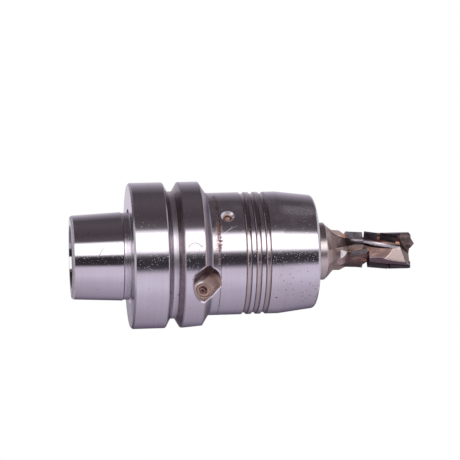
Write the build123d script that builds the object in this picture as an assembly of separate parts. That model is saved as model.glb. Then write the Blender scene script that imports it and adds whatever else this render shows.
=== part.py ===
from build123d import *
import math
import os

# Hollow taper shank, size 63 flange with a size 50 taper.
# z = 0 is the end of the shank, +Z runs along the spindle axis to the cutter's tip. Millimetres.
SHANK_LENGTH = 25.0
TAPER_RATIO = 9.98
GAUGE_DIAMETER = 38.01
GAUGE_TO_FACE = 5.0
SHANK_END_CHAMFER = 0.9
FINE_ROUND = 0.3
ROUND = 0.4
SHOULDER_ROUND = 0.8
SHANK_RELIEF_LENGTH = 3.4
SHANK_RELIEF_DEPTH = 0.35
FACE_UNDERCUT_DEPTH = 0.5
FACE_UNDERCUT_WIDTH = 1.1

# Inside of the hollow shank, where the spindle's gripper pulls.
MOUTH_DIAMETER = 26.0
MOUTH_CHAMFER = 1.0
GRIP_GROOVE_DIAMETER = 32.0
GRIP_SHOULDER_TO_FACE = 14.13
GRIP_SHOULDER_ANGLE = 30.0
GRIP_GROOVE_END_TO_FACE = 5.4
CAVITY_DIAMETER = 29.0
CAVITY_BEYOND_FACE = 2.4
CAVITY_CHAMFER = 1.5

# Flange with its gripper groove.
FLANGE_DIAMETER = 63.0
FLANGE_LENGTH = 30.1
FLANGE_EDGE = 0.8
FLANGE_FRONT_CHAMFER_LENGTH = 3.2
GROOVE_TO_FACE = 18.0
GROOVE_DEPTH = 4.0
GROOVE_FLOOR_DIAMETER = FLANGE_DIAMETER - 2 * GROOVE_DEPTH
GROOVE_WIDTH = 6.75
GROOVE_FLANK_ANGLE = 30.0
GROOVE_EDGE = 0.3
BALANCE_FLAT_DEPTH = 0.9

# Chuck body in front of the flange.
FLANGE_SHOULDER = 5.0
BODY_DIAMETER = FLANGE_DIAMETER - 2 * FLANGE_SHOULDER
SEAM_TO_FACE = 36.85
NOSE_TO_FACE = 80.0
CASING_WALL = 6.0
SPIGOT_DIAMETER = BODY_DIAMETER - 2 * CASING_WALL
SPIGOT_LENGTH = 8.0
SEAM_CHAMFER = 0.2
SHRINK_GAP = 0.01
SCREW_TO_PISTON_GAP = 0.02
NOSE_TAPER_LENGTH = 16.0
NOSE_TAPER_DROP = 1.95
NOSE_CORNER_RADIUS = 1.7
RING_GROOVE_COUNT = 3
RING_GROOVE_FIRST_TO_FACE = 49.0
RING_GROOVE_PITCH = 4.15
RING_GROOVE_WIDTH = 2.5
RING_GROOVE_DEPTH = 0.75

# Expansion sleeve and the tool that it clamps.
BODY_WALL = 14.0
TOOL_BORE_DIAMETER = BODY_DIAMETER - 2 * BODY_WALL
TOOL_SHANK_GAP = 0.02
SLEEVE_WALL = 3.0
SLEEVE_LENGTH = 58.0
SLEEVE_MOUTH_CHAMFER = 0.5
CHAMBER_DEPTH = 1.4
CHAMBER_LENGTHS = (12.0, 13.0)
CHAMBER_STARTS = (4.0, 31.0)
CHAMBER_LINK_WIDTH = 1.2
CHAMBER_LINK_DEPTH = 0.8

# Length stop screw in the web behind the tool.
STOP_SCREW_SHARE = 0.64
STOP_SCREW_DIAMETER = TOOL_BORE_DIAMETER * STOP_SCREW_SHARE
STOP_SCREW_LENGTH = 15.0
STOP_SCREW_GAP = 0.05
STOP_BORE_CONE = 2.0
STOP_TO_TOOL_GAP = 0.1
STOP_SOCKET_FLATS = STOP_SCREW_DIAMETER / 2
STOP_SOCKET_DEPTH = 7.0
STOP_RING_SECTION = 2.0
STOP_RING_FROM_FRONT = 6.0
SCREW_EDGE = 0.8
BORE_LEAD_IN = 0.6
RING_FLOOR_SHARE = 0.8
RING_WIDTH_SHARE = 0.6
RING_TUBE_SHARE = 0.37

# Clamping screw bore: a chord beside the tool bore, through the flange's front corner.
# Its round pocket keeps two flat walls, each at an angle round the bore and a distance from its axis.
CLAMP_BORE_INSET = 5.75
CLAMP_BORE_OFFSET = BODY_DIAMETER / 2 - CLAMP_BORE_INSET
CLAMP_BORE_TURN = 20.5
CLAMP_BORE_TILT = 8.0
CLAMP_MOUTH_Z = 55.9
CLAMP_MOUTH_INSET = 2.7
CLAMP_MOUTH_BACK = FLANGE_DIAMETER / 2 - CLAMP_MOUTH_INSET
CLAMP_POCKET_DIAMETER = 13.0
CLAMP_POCKET_DEPTH = 8.0
CLAMP_WALLS = ((146.0, 5.1), (-43.0, 4.3))
CLAMP_POCKET_CORNER = 3.0
CLAMP_SCREW_DIAMETER = 6.0
CLAMP_SCREW_LENGTH = 7.0
CLAMP_SCREW_GAP = 0.05
CLAMP_SOCKET_FLATS = 3.0
CLAMP_SOCKET_DEPTH = 1.7
CLAMP_PILOT_DIAMETER = 2.0
CLAMP_PILOT_DEPTH = 1.8
CLAMP_EDGE = 0.1
SOCKET_LEAD_IN = 0.3
PISTON_LENGTH = 5.0
PISTON_NECK = 0.9
SEAL_LENGTH = 2.5
SEAL_LIP_DEPTH = 1.2
PRESSURE_SPACE_LENGTH = 1.5
OIL_CHANNEL_DIAMETER = 2.5

# Bleed hole with its ball and plug sleeve.
BLEED_ANGLE = -126.6
BLEED_TO_FACE = 40.8
BLEED_SINK_DIAMETER = 5.8
BLEED_SINK_ANGLE = 90.0
BLEED_PLUG_DIAMETER = 4.0
BLEED_PLUG_LENGTH = 3.6
BLEED_PLUG_WALL = 0.5
BLEED_BALL_DIAMETER = 2.8
BLEED_CHANNEL_DIAMETER = 1.6

# Shank cutter: a turned blank with staggered gullets and brazed cutting tips.
TOOL_TO_SLEEVE_END = 3.0
TOOL_SHANK_DEPTH = SLEEVE_LENGTH - TOOL_TO_SLEEVE_END
TOOL_COLLAR_LENGTH = 4.8
TOOL_END_CHAMFER = 1.0
CUTTER_LENGTH = 43.3
CUTTING_RADIUS = 8.5
LAND_RADIUS = 7.4
NECK_RADIUS = 9.2
CONE_END_BACK = 8.8
NECK_END_BACK = 12.4
CUTTER_END_EDGE = 0.4
WINGS = 3
WING_STEP = 360.0 / WINGS
TIP_THICKNESS = 1.6
TIP_WIDTH = 3.1
TIP_RELIEF = 10.0
TIP_PROUD = 0.25
BRAZE_GAP = 0.02

# Cutting rows. Angles are round the spindle axis, heights are back from the cutter's end face.
# A row's edge starts at an angle and turns with height; tips give each wing's start and end heights.
FRONT_EDGE_ANGLE = 207.5
FRONT_TURN = 1.95
FRONT_START_BACK = 20.8
FRONT_TIPS = (
    ((20.8, 15.2), (13.9, 7.0)),
    ((19.7, 10.3), (9.9, 0.2)),
    ((20.5, 12.3), (11.9, 0.2)),
)
REAR_EDGE_ANGLE = 166.0
REAR_TURN = -1.35
REAR_START_BACK = 27.9
REAR_TIP = (27.9, 20.2)

# Gullets in front of the edges: height back from the end face, floor radius, width of the land behind.
FLOOR_RADIUS = 4.5
FLOOR_SHARE = 0.5
GULLET_START_RADIUS = TOOL_BORE_DIAMETER / 2 + 0.7
REAR_GULLET = ((38.5, GULLET_START_RADIUS, 32), (33.0, 7.0, 32), (27.0, 5.0, 32), (19.0, FLOOR_RADIUS, 32))
FRONT_GULLET = ((23.5, 8.6, 22), (19.5, 5.2, 30), (10.0, FLOOR_RADIUS, 45), (-0.6, FLOOR_RADIUS, 58))
RAKE_FOOT = 0.4
HEEL_FOOT = 0.7
GULLET_OUTSIDE = TOOL_BORE_DIAMETER / 2 + 2.5

# Centre-cutting tip at the end of the first wing, with the gash and the heel facets round it.
PLUNGE_ANGLE = 216.0
PLUNGE_TIP_OUTLINE = ((7.6, 1.0), (2.8, -1.9), (0.25, -0.3), (0.9, 1.9), (4.9, 4.9), (7.6, 4.9))
PLUNGE_TAPER = 12.0
GASH_ANGLE = 246.0
GASH_TILT = 35.5
GASH_BACK = 1.6
FACET_ANGLE = 270.0
FACET_RADIUS = 4.03
FACET_TILT = 9.7
FACET_SIDE = 2.0


def shank_radius(z):
    """Radius of the taper at height z."""
    return GAUGE_DIAMETER / 2 - (FACE_Z - GAUGE_TO_FACE - z) / TAPER_RATIO / 2


FACE_Z = SHANK_LENGTH
NOSE_Z = FACE_Z + NOSE_TO_FACE
SEAM_Z = FACE_Z + SEAM_TO_FACE
SPIGOT_END_Z = SEAM_Z + SPIGOT_LENGTH
BODY_R = BODY_DIAMETER / 2
FLANGE_R = FLANGE_DIAMETER / 2
SLEEVE_R = TOOL_BORE_DIAMETER / 2 + SLEEVE_WALL
SLEEVE_START_Z = NOSE_Z - SLEEVE_LENGTH
TOOL_START_Z = NOSE_Z - TOOL_SHANK_DEPTH
CAVITY_END_Z = FACE_Z + CAVITY_BEYOND_FACE
FLANGE_FRONT_Z = FACE_Z + FLANGE_LENGTH
TOOL_R = TOOL_BORE_DIAMETER / 2 - TOOL_SHANK_GAP
CUTTER_START_Z = NOSE_Z + TOOL_COLLAR_LENGTH
CUTTER_END_Z = NOSE_Z + CUTTER_LENGTH


def turned(points):
    """Solid of revolution about Z from (radius, z) corners. A third number rounds that corner."""
    edges = []
    ends = []
    count = len(points)
    for i, corner in enumerate(points):
        here = Vector(corner[0], corner[1])
        if len(corner) < 3:
            ends.append((here, here))
            continue
        before = (Vector(*points[i - 1][:2]) - here).normalized()
        after = (Vector(*points[(i + 1) % count][:2]) - here).normalized()
        half_angle = math.radians(before.get_angle(after)) / 2
        reach = corner[2] / math.tan(half_angle)
        middle_way = (before + after).normalized()
        middle = here + middle_way * (corner[2] / math.sin(half_angle) - corner[2])
        start, end = here + before * reach, here + after * reach
        edges.append(ThreePointArc(start, middle, end))
        ends.append((start, end))
    for i in range(count):
        start, end = ends[i - 1][1], ends[i][0]
        if (end - start).length > 1e-6:
            edges.append(Line(start, end))
    outline = make_face(Wire.combine(edges)[0])
    return revolve(Plane.XZ * outline, Axis.Z, 360)


def polar(radius, degrees, z=0.0):
    """Point at a radius and angle round the spindle axis."""
    angle = math.radians(degrees)
    return Vector(radius * math.cos(angle), radius * math.sin(angle), z)


def rod(plane, radius, start, end):
    """Round bar along a plane's normal, from start to end."""
    bar = Cylinder(radius, end - start, align=(Align.CENTER, Align.CENTER, Align.MIN))
    return plane * (Pos(0, 0, start) * bar)


def hex_socket(plane, flats, depth, pilot, pilot_depth):
    """Hexagon socket with a drilled pilot hole in its floor, sunk from a plane's origin along its normal."""
    corners = flats / math.sqrt(3)
    recess = extrude(RegularPolygon(corners, 6), depth)
    cone_depth = pilot / 2 * math.tan(math.radians(30))
    hole = Pos(0, 0, depth + pilot_depth / 2) * Cylinder(pilot / 2, pilot_depth)
    cone = Pos(0, 0, depth + pilot_depth + cone_depth / 2) * Cone(pilot / 2, 0.01, cone_depth)
    wide, narrow = corners + SOCKET_LEAD_IN * 0.6, corners - SOCKET_LEAD_IN * 0.4
    entry = Pos(0, 0, SOCKET_LEAD_IN / 2) * Cone(wide, narrow, SOCKET_LEAD_IN)
    return plane * (recess + hole + cone + entry)


# Clamping bore frame: its origin is where the bore meets the flange's corner, its normal runs inwards.
CLAMP_WAY = Vector(
    math.sin(math.radians(CLAMP_BORE_TURN)) * math.cos(math.radians(CLAMP_BORE_TILT)),
    math.cos(math.radians(CLAMP_BORE_TURN)) * math.cos(math.radians(CLAMP_BORE_TILT)),
    -math.sin(math.radians(CLAMP_BORE_TILT)),
)
CLAMP_SIDE = polar(1.0, -CLAMP_BORE_TURN)
CLAMP_FLAT_WAY = polar(1.0, 90 - CLAMP_BORE_TURN)
CLAMP_MOUTH_RUN = math.sqrt(CLAMP_MOUTH_BACK**2 - CLAMP_BORE_OFFSET**2)
CLAMP_MOUTH = (
    CLAMP_SIDE * CLAMP_BORE_OFFSET
    - CLAMP_FLAT_WAY * CLAMP_MOUTH_RUN
    + Vector(0, 0, CLAMP_MOUTH_Z)
)
CLAMP_PLANE = Plane(origin=CLAMP_MOUTH, x_dir=CLAMP_SIDE, z_dir=CLAMP_WAY)
CLAMP_SCREW_R = CLAMP_SCREW_DIAMETER / 2
CLAMP_BORE_R = CLAMP_SCREW_R + CLAMP_SCREW_GAP
PISTON_START = CLAMP_POCKET_DEPTH + CLAMP_SCREW_LENGTH
SEAL_START = PISTON_START + PISTON_LENGTH
CLAMP_BORE_END = SEAL_START + SEAL_LENGTH + PRESSURE_SPACE_LENGTH

BLEED_PLANE = Plane(
    origin=polar(BODY_R, BLEED_ANGLE, FACE_Z + BLEED_TO_FACE),
    z_dir=-polar(1.0, BLEED_ANGLE),
)
BLEED_SINK_DEPTH = (BLEED_SINK_DIAMETER - BLEED_PLUG_DIAMETER) / 2
BLEED_PLUG_START = BLEED_SINK_DEPTH + 0.05


def clamp_bore():
    """Everything that the clamping screw's bore and its two-sided pocket take out of the body."""
    pocket = rod(Plane.XY, CLAMP_POCKET_DIAMETER / 2, -CLAMP_POCKET_DIAMETER, CLAMP_POCKET_DEPTH)
    floor_edge = pocket.edges().filter_by(GeomType.CIRCLE).sort_by(Axis.Z)[-1]
    pocket = fillet(floor_edge, CLAMP_POCKET_CORNER)
    size = 4 * CLAMP_POCKET_DIAMETER
    beyond = Box(size, size, size, align=(Align.MIN, Align.CENTER, Align.CENTER))
    for angle, distance in CLAMP_WALLS:
        pocket -= Rot(0, 0, angle) * (Pos(distance, 0, 0) * beyond)
    bore = rod(CLAMP_PLANE, CLAMP_BORE_R, CLAMP_POCKET_DEPTH - 1, CLAMP_BORE_END)
    return CLAMP_PLANE * pocket + bore


def oil_channel():
    """Drilled way from the pressure space to the rear chamber of the sleeve."""
    middle = CLAMP_MOUTH + CLAMP_WAY * (CLAMP_BORE_END - OIL_CHANNEL_DIAMETER / 2)
    inwards = Vector(-middle.X, -middle.Y, 0)
    plane = Plane(origin=middle, z_dir=inwards)
    return rod(plane, OIL_CHANNEL_DIAMETER / 2, 0, inwards.length - TOOL_BORE_DIAMETER / 2 - 2)


def bleed_hole():
    """Countersunk bleed hole through the casing and the spigot to the sleeve."""
    tangent = math.tan(math.radians(BLEED_SINK_ANGLE / 2))
    top_r = BLEED_SINK_DIAMETER / 2 + tangent
    sink_r = BLEED_PLUG_DIAMETER / 2
    depth = (top_r - sink_r) / tangent
    sink = BLEED_PLANE * (Pos(0, 0, depth / 2 - 1) * Cone(top_r, sink_r, depth))
    seat = rod(BLEED_PLANE, sink_r, 0, BLEED_PLUG_START + BLEED_PLUG_LENGTH)
    channel = rod(BLEED_PLANE, BLEED_CHANNEL_DIAMETER / 2, 0, BODY_R - SLEEVE_R + 0.5)
    return sink + seat + channel


def gripper_groove():
    """Ring that the gripper groove takes out of the flange."""
    z = FACE_Z + GROOVE_TO_FACE
    slope = math.tan(math.radians(GROOVE_FLANK_ANGLE))
    floor_r = GROOVE_FLOOR_DIAMETER / 2
    floor_half = GROOVE_WIDTH / 2 - (FLANGE_R - floor_r) * slope
    edge_r = FLANGE_R - GROOVE_EDGE
    edge_half = GROOVE_WIDTH / 2 - GROOVE_EDGE * slope
    top_half = GROOVE_WIDTH / 2 + GROOVE_EDGE
    half = [
        (floor_r, floor_half, FINE_ROUND),
        (edge_r, edge_half),
        (FLANGE_R, top_half),
        (FLANGE_R + 1, top_half + 1),
    ]
    upper = [(c[0], z + c[1], *c[2:]) for c in half]
    lower = [(c[0], z - c[1], *c[2:]) for c in reversed(half)]
    return turned(upper + lower)


def balance_flat():
    """Shallow ground flat on the front rim of the flange, deepest at its front edge."""
    back_z = FACE_Z + GROOVE_TO_FACE + GROOVE_WIDTH / 2
    length = FLANGE_FRONT_Z - back_z
    slope = BALANCE_FLAT_DEPTH / length
    run_on = FLANGE_FRONT_CHAMFER_LENGTH
    cutter = Polyline(
        (FLANGE_R + 3, back_z),
        (FLANGE_R, back_z),
        (FLANGE_R - slope * (length + run_on), FLANGE_FRONT_Z + run_on),
        (FLANGE_R + 3, FLANGE_FRONT_Z + run_on),
        close=True,
    )
    return extrude(Plane.XZ * make_face(cutter), FLANGE_R, both=True)


def make_base_body():
    """Hollow shank, flange and rear half of the chuck, turned from one forging."""
    relief_z = FACE_Z - SHANK_RELIEF_LENGTH
    relief_r = shank_radius(relief_z) - SHANK_RELIEF_DEPTH
    end_r = shank_radius(0) - SHANK_END_CHAMFER / 2
    mouth_r = MOUTH_DIAMETER / 2
    grip_r = GRIP_GROOVE_DIAMETER / 2
    cavity_r = CAVITY_DIAMETER / 2
    shoulder_z = FACE_Z - GRIP_SHOULDER_TO_FACE
    shoulder_run = (grip_r - mouth_r) * math.tan(math.radians(GRIP_SHOULDER_ANGLE))
    grip_end_z = FACE_Z - GRIP_GROOVE_END_TO_FACE
    grip_run = grip_r - cavity_r
    stop_r = STOP_SCREW_DIAMETER / 2 + STOP_SCREW_GAP
    sleeve_r = SLEEVE_R + SHRINK_GAP
    spigot_r = SPIGOT_DIAMETER / 2
    chamfer_end_z = FLANGE_FRONT_Z + FLANGE_FRONT_CHAMFER_LENGTH
    undercut_r = relief_r + FACE_UNDERCUT_WIDTH
    body = turned(
        [
            (mouth_r + MOUTH_CHAMFER, 0),
            (end_r, 0, FINE_ROUND),
            (shank_radius(SHANK_END_CHAMFER), SHANK_END_CHAMFER, ROUND),
            (shank_radius(relief_z), relief_z),
            (relief_r, relief_z + SHANK_RELIEF_DEPTH, FINE_ROUND),
            (relief_r, FACE_Z + FACE_UNDERCUT_DEPTH, FINE_ROUND),
            (undercut_r, FACE_Z + FACE_UNDERCUT_DEPTH, FINE_ROUND / 2),
            (undercut_r + FACE_UNDERCUT_DEPTH, FACE_Z),
            (FLANGE_R - FLANGE_EDGE, FACE_Z),
            (FLANGE_R, FACE_Z + FLANGE_EDGE),
            (FLANGE_R, FLANGE_FRONT_Z, SHOULDER_ROUND),
            (BODY_R, chamfer_end_z, SHOULDER_ROUND),
            (BODY_R, SEAM_Z - SEAM_CHAMFER),
            (BODY_R - SEAM_CHAMFER, SEAM_Z),
            (spigot_r, SEAM_Z),
            (spigot_r, SPIGOT_END_Z - ROUND),
            (spigot_r - ROUND, SPIGOT_END_Z),
            (sleeve_r, SPIGOT_END_Z),
            (sleeve_r, SLEEVE_START_Z),
            (stop_r + STOP_BORE_CONE, SLEEVE_START_Z),
            (stop_r, SLEEVE_START_Z - STOP_BORE_CONE),
            (stop_r, CAVITY_END_Z + BORE_LEAD_IN),
            (stop_r + BORE_LEAD_IN, CAVITY_END_Z),
            (cavity_r - CAVITY_CHAMFER, CAVITY_END_Z),
            (cavity_r, CAVITY_END_Z - CAVITY_CHAMFER),
            (cavity_r, grip_end_z + grip_run),
            (grip_r, grip_end_z),
            (grip_r, shoulder_z, ROUND),
            (mouth_r, shoulder_z - shoulder_run, ROUND),
            (mouth_r, MOUTH_CHAMFER),
        ]
    )
    body -= gripper_groove()
    body -= balance_flat()
    body -= clamp_bore()
    body -= oil_channel()
    body -= bleed_hole()
    return body


def make_front_casing():
    """Outer casing from the seam to the nose, with its three ring grooves."""
    sleeve_r = SLEEVE_R + SHRINK_GAP
    spigot_r = SPIGOT_DIAMETER / 2 + SHRINK_GAP
    nose_r = BODY_R - NOSE_TAPER_DROP
    casing = turned(
        [
            (spigot_r, SEAM_Z),
            (BODY_R - SEAM_CHAMFER, SEAM_Z),
            (BODY_R, SEAM_Z + SEAM_CHAMFER),
            (BODY_R, NOSE_Z - NOSE_TAPER_LENGTH),
            (nose_r, NOSE_Z, NOSE_CORNER_RADIUS),
            (sleeve_r + BORE_LEAD_IN, NOSE_Z),
            (sleeve_r, NOSE_Z - BORE_LEAD_IN),
            (sleeve_r, SPIGOT_END_Z + SHRINK_GAP),
            (spigot_r, SPIGOT_END_Z + SHRINK_GAP),
        ]
    )
    half = RING_GROOVE_WIDTH / 2
    round_r = (half**2 + RING_GROOVE_DEPTH**2) / 2 / RING_GROOVE_DEPTH
    for i in range(RING_GROOVE_COUNT):
        z = FACE_Z + RING_GROOVE_FIRST_TO_FACE + i * RING_GROOVE_PITCH
        casing -= Pos(0, 0, z) * Torus(BODY_R - RING_GROOVE_DEPTH + round_r, round_r)
    casing -= clamp_bore()
    casing -= bleed_hole()
    return casing


def make_expansion_sleeve():
    """Thin-walled bush round the tool, with two oil chambers turned into its outside."""
    bore_r = TOOL_BORE_DIAMETER / 2
    sleeve = turned(
        [
            (bore_r, SLEEVE_START_Z),
            (SLEEVE_R, SLEEVE_START_Z),
            (SLEEVE_R, NOSE_Z),
            (bore_r + SLEEVE_MOUTH_CHAMFER, NOSE_Z),
            (bore_r, NOSE_Z - SLEEVE_MOUTH_CHAMFER),
        ]
    )
    for start, length in zip(CHAMBER_STARTS, CHAMBER_LENGTHS):
        low = SLEEVE_START_Z + start
        floor_r = SLEEVE_R - CHAMBER_DEPTH
        sleeve -= turned(
            [
                (floor_r, low),
                (SLEEVE_R + 1, low),
                (SLEEVE_R + 1, low + length),
                (floor_r, low + length),
            ]
        )
    link_low = SLEEVE_START_Z + CHAMBER_STARTS[0] + CHAMBER_LENGTHS[0] - 1
    link_high = SLEEVE_START_Z + CHAMBER_STARTS[1] + 1
    link = Box(
        CHAMBER_LINK_DEPTH * 2,
        CHAMBER_LINK_WIDTH,
        link_high - link_low,
        align=(Align.CENTER, Align.CENTER, Align.MIN),
    )
    return sleeve - Rot(0, 0, BLEED_ANGLE) * (Pos(SLEEVE_R, 0, link_low) * link)


def make_clamping_screw():
    """Fine-threaded set screw with a hexagon socket, in the chord bore."""
    screw = rod(CLAMP_PLANE, CLAMP_SCREW_R, CLAMP_POCKET_DEPTH, PISTON_START - SCREW_EDGE / 2)
    rims = screw.edges().filter_by(GeomType.CIRCLE)
    screw = chamfer(rims, CLAMP_EDGE)
    nose = rod(CLAMP_PLANE, CLAMP_SCREW_R / 2, PISTON_START - SCREW_EDGE, PISTON_START)
    face = CLAMP_PLANE.offset(CLAMP_POCKET_DEPTH)
    socket = hex_socket(face, CLAMP_SOCKET_FLATS, CLAMP_SOCKET_DEPTH, CLAMP_PILOT_DIAMETER, CLAMP_PILOT_DEPTH)
    return screw + nose - socket


def make_pressure_piston():
    """Piston that the clamping screw pushes, with a waist."""
    radius = CLAMP_SCREW_R
    waist_r = radius - PISTON_NECK
    third = PISTON_LENGTH / 3
    profile = turned(
        [
            (0, SCREW_TO_PISTON_GAP),
            (radius - FINE_ROUND, SCREW_TO_PISTON_GAP),
            (radius, FINE_ROUND + SCREW_TO_PISTON_GAP),
            (radius, third),
            (waist_r, third + 0.2),
            (waist_r, 2 * third - 0.2),
            (radius, 2 * third),
            (radius, PISTON_LENGTH),
            (0, PISTON_LENGTH),
        ]
    )
    return CLAMP_PLANE * (Pos(0, 0, PISTON_START) * profile)


def make_piston_seal():
    """Cup seal in front of the piston, with its lip towards the oil."""
    radius = CLAMP_SCREW_R
    lip_r = radius - 0.9
    profile = turned(
        [
            (0, SHRINK_GAP),
            (radius, SHRINK_GAP),
            (radius, SEAL_LENGTH),
            (radius - 0.4, SEAL_LENGTH),
            (lip_r, SEAL_LENGTH - SEAL_LIP_DEPTH),
            (0, SEAL_LENGTH - SEAL_LIP_DEPTH),
        ]
    )
    return CLAMP_PLANE * (Pos(0, 0, SEAL_START) * profile)


def make_bleed_plug():
    """Cup-shaped plug sleeve that the ball spreads in its hole."""
    radius = BLEED_PLUG_DIAMETER / 2 - SHRINK_GAP
    inner_r = radius - BLEED_PLUG_WALL
    profile = turned(
        [
            (0, BLEED_PLUG_LENGTH - BLEED_PLUG_WALL),
            (inner_r, BLEED_PLUG_LENGTH - BLEED_PLUG_WALL),
            (inner_r, 0.3),
            (radius - 0.1, 0),
            (radius, 0.2),
            (radius, BLEED_PLUG_LENGTH - SHRINK_GAP),
            (0, BLEED_PLUG_LENGTH - SHRINK_GAP),
        ]
    )
    return BLEED_PLANE * (Pos(0, 0, BLEED_PLUG_START) * profile)


def make_bleed_ball():
    """Steel ball pressed into the plug sleeve."""
    radius = BLEED_BALL_DIAMETER / 2
    return BLEED_PLANE * (Pos(0, 0, BLEED_PLUG_START + radius + 0.25) * Sphere(radius))


def make_stop_screw():
    """Length stop screw behind the tool, set from the shank's side with a hexagon key."""
    radius = STOP_SCREW_DIAMETER / 2
    top_z = TOOL_START_Z - STOP_TO_TOOL_GAP
    low_z = top_z - STOP_SCREW_LENGTH
    ring_z = top_z - STOP_RING_FROM_FRONT
    ring_r = radius - STOP_RING_SECTION * RING_FLOOR_SHARE
    half = STOP_RING_SECTION * RING_WIDTH_SHARE
    screw = turned(
        [
            (0, low_z),
            (radius - SCREW_EDGE, low_z),
            (radius, low_z + SCREW_EDGE),
            (radius, ring_z - half),
            (ring_r, ring_z - half),
            (ring_r, ring_z + half),
            (radius, ring_z + half),
            (radius, top_z - SCREW_EDGE),
            (radius - SCREW_EDGE, top_z),
            (0, top_z),
        ]
    )
    face = Plane(origin=(0, 0, low_z))
    return screw - hex_socket(face, STOP_SOCKET_FLATS, STOP_SOCKET_DEPTH, STOP_SOCKET_FLATS, SCREW_EDGE)


def make_stop_ring():
    """Rubber ring in the stop screw's groove."""
    tube_r = STOP_RING_SECTION * RING_TUBE_SHARE
    centre_r = STOP_SCREW_DIAMETER / 2 - STOP_RING_SECTION * RING_FLOOR_SHARE + tube_r + SHRINK_GAP
    ring_z = TOOL_START_Z - STOP_TO_TOOL_GAP - STOP_RING_FROM_FRONT
    corners = [polar(tube_r, 22.5 + 45 * i) for i in range(8)]
    return turned([(centre_r + c.X, ring_z + c.Y) for c in corners])


def edge_angle(z, row_angle, row_start_back, turn):
    """Angle of a row's cutting edge at height z."""
    return row_angle + (z - (CUTTER_END_Z - row_start_back)) * turn


def gullet_section(z, angle, floor_r, span):
    """Face that a gullet takes out at height z: rake face, floor, heel facet and the space outside."""
    heel_start = angle + span
    floor_end = angle + span * FLOOR_SHARE
    mid_floor = polar(floor_r * 0.97, angle + span * FLOOR_SHARE * 0.45, z)
    corners = [
        polar(floor_r + RAKE_FOOT, angle, z),
        polar(GULLET_OUTSIDE, angle, z),
        polar(GULLET_OUTSIDE, (angle + heel_start) / 2 + 4, z),
        polar(GULLET_OUTSIDE, heel_start + 4, z),
        polar(max(LAND_RADIUS, floor_r + RAKE_FOOT), heel_start, z),
        polar(floor_r + HEEL_FOOT, floor_end, z),
    ]
    edges = [Line(corners[i], corners[i + 1]) for i in range(len(corners) - 1)]
    edges.append(ThreePointArc(corners[-1], mid_floor, corners[0]))
    return make_face(Wire.combine(edges)[0])


def gullets(row_angle, row_start_back, turn, stations):
    """One row's gullets. Stations are (height back from the end face, floor radius, land width)."""
    for wing in range(WINGS):
        sections = []
        for back, floor_r, land in stations:
            z = CUTTER_END_Z - back
            angle = edge_angle(z, row_angle, row_start_back, turn) + wing * WING_STEP
            sections.append(gullet_section(z, angle, floor_r, WING_STEP - land))
        yield loft(sections)


def tip_plane(z, angle, turn):
    """Plane on a tip's rake face, x outwards and z in the cutting way, and the way along the tip."""
    shear = math.atan(CUTTING_RADIUS * math.radians(turn))
    outwards = polar(1.0, angle)
    tangent = polar(1.0, angle + 90)
    along = tangent * math.sin(shear) + Vector(0, 0, math.cos(shear))
    rake = tangent * math.cos(shear) - Vector(0, 0, math.sin(shear))
    return Plane(origin=outwards * CUTTING_RADIUS + Vector(0, 0, z), x_dir=outwards, z_dir=rake), along


def tip_solid(start_back, end_back, angle_at, turn, grow=0.0):
    """Flat cutting tip between two heights. Grown, it is the pocket that it sits in."""
    low, high = CUTTER_END_Z - start_back, CUTTER_END_Z - end_back
    middle = (low + high) / 2
    plane, along = tip_plane(middle, angle_at(middle), turn)
    shear = math.atan(CUTTING_RADIUS * math.radians(turn))
    half = (high - low) / 2 / math.cos(shear) + grow
    drop = 0 if grow else TIP_THICKNESS * math.tan(math.radians(TIP_RELIEF))
    reach = 2.0 if grow else 0.0
    section = Polyline(
        (-TIP_WIDTH - grow, TIP_PROUD + reach),
        (reach, TIP_PROUD + reach),
        (reach - drop, -TIP_THICKNESS - grow),
        (-TIP_WIDTH - grow, -TIP_THICKNESS - grow),
        close=True,
    )
    cross = Plane(origin=plane.origin - along * half, x_dir=plane.x_dir, z_dir=along)
    turned_section = make_face(section)
    if cross.y_dir.dot(plane.z_dir) < 0:
        turned_section = mirror(turned_section, Plane.XZ)
    return extrude(cross * turned_section, 2 * half)


def row_angle_at(row_angle, row_start_back, turn, wing):
    """Function that gives a wing's edge angle at a height."""
    return lambda z: edge_angle(z, row_angle, row_start_back, turn) + wing * WING_STEP


def plunge_tip_solid(grow=0.0):
    """Pointed centre-cutting tip at the end of the first wing."""
    outwards = polar(1.0, PLUNGE_ANGLE)
    face = Plane(origin=(0, 0, CUTTER_END_Z), x_dir=outwards, z_dir=polar(1.0, PLUNGE_ANGLE + 90))
    sign = face.y_dir.Z
    outline = make_face(Polyline(*[(r, -back * sign) for r, back in PLUNGE_TIP_OUTLINE], close=True))
    if grow:
        outline = offset(outline, grow)
    return extrude(face * outline, -TIP_THICKNESS - grow, taper=0 if grow else PLUNGE_TAPER)


def plunge_gash():
    """Flat gash in front of the plunge tip, leaning towards the gullet."""
    lean = math.radians(GASH_TILT)
    normal = polar(math.sin(lean), GASH_ANGLE, math.cos(lean))
    floor = Plane(origin=(0, 0, CUTTER_END_Z - GASH_BACK), z_dir=normal)
    size = 6 * CUTTING_RADIUS
    above = floor * Box(size, size, size / 2, align=(Align.CENTER, Align.CENTER, Align.MIN))
    front = Plane(origin=(0, 0, CUTTER_END_Z), z_dir=polar(1.0, PLUNGE_ANGLE + 90))
    return above & front * Box(size, size, size / 2, align=(Align.CENTER, Align.CENTER, Align.MIN))


def heel_facet(wing):
    """Flat on a wing's heel that widens its gullet towards the end."""
    angle = FACET_ANGLE + wing * WING_STEP
    lean = math.radians(FACET_TILT)
    normal = polar(math.cos(lean), angle, math.sin(lean))
    floor = Plane(origin=polar(FACET_RADIUS, angle, CUTTER_END_Z), x_dir=polar(1.0, angle + 90), z_dir=normal)
    size = 6 * CUTTING_RADIUS
    block = Box(size / 2, size, size / 2, align=(Align.MIN, Align.CENTER, Align.MIN))
    return floor * (Pos(-FACET_SIDE, 0, 0) * block)


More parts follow.
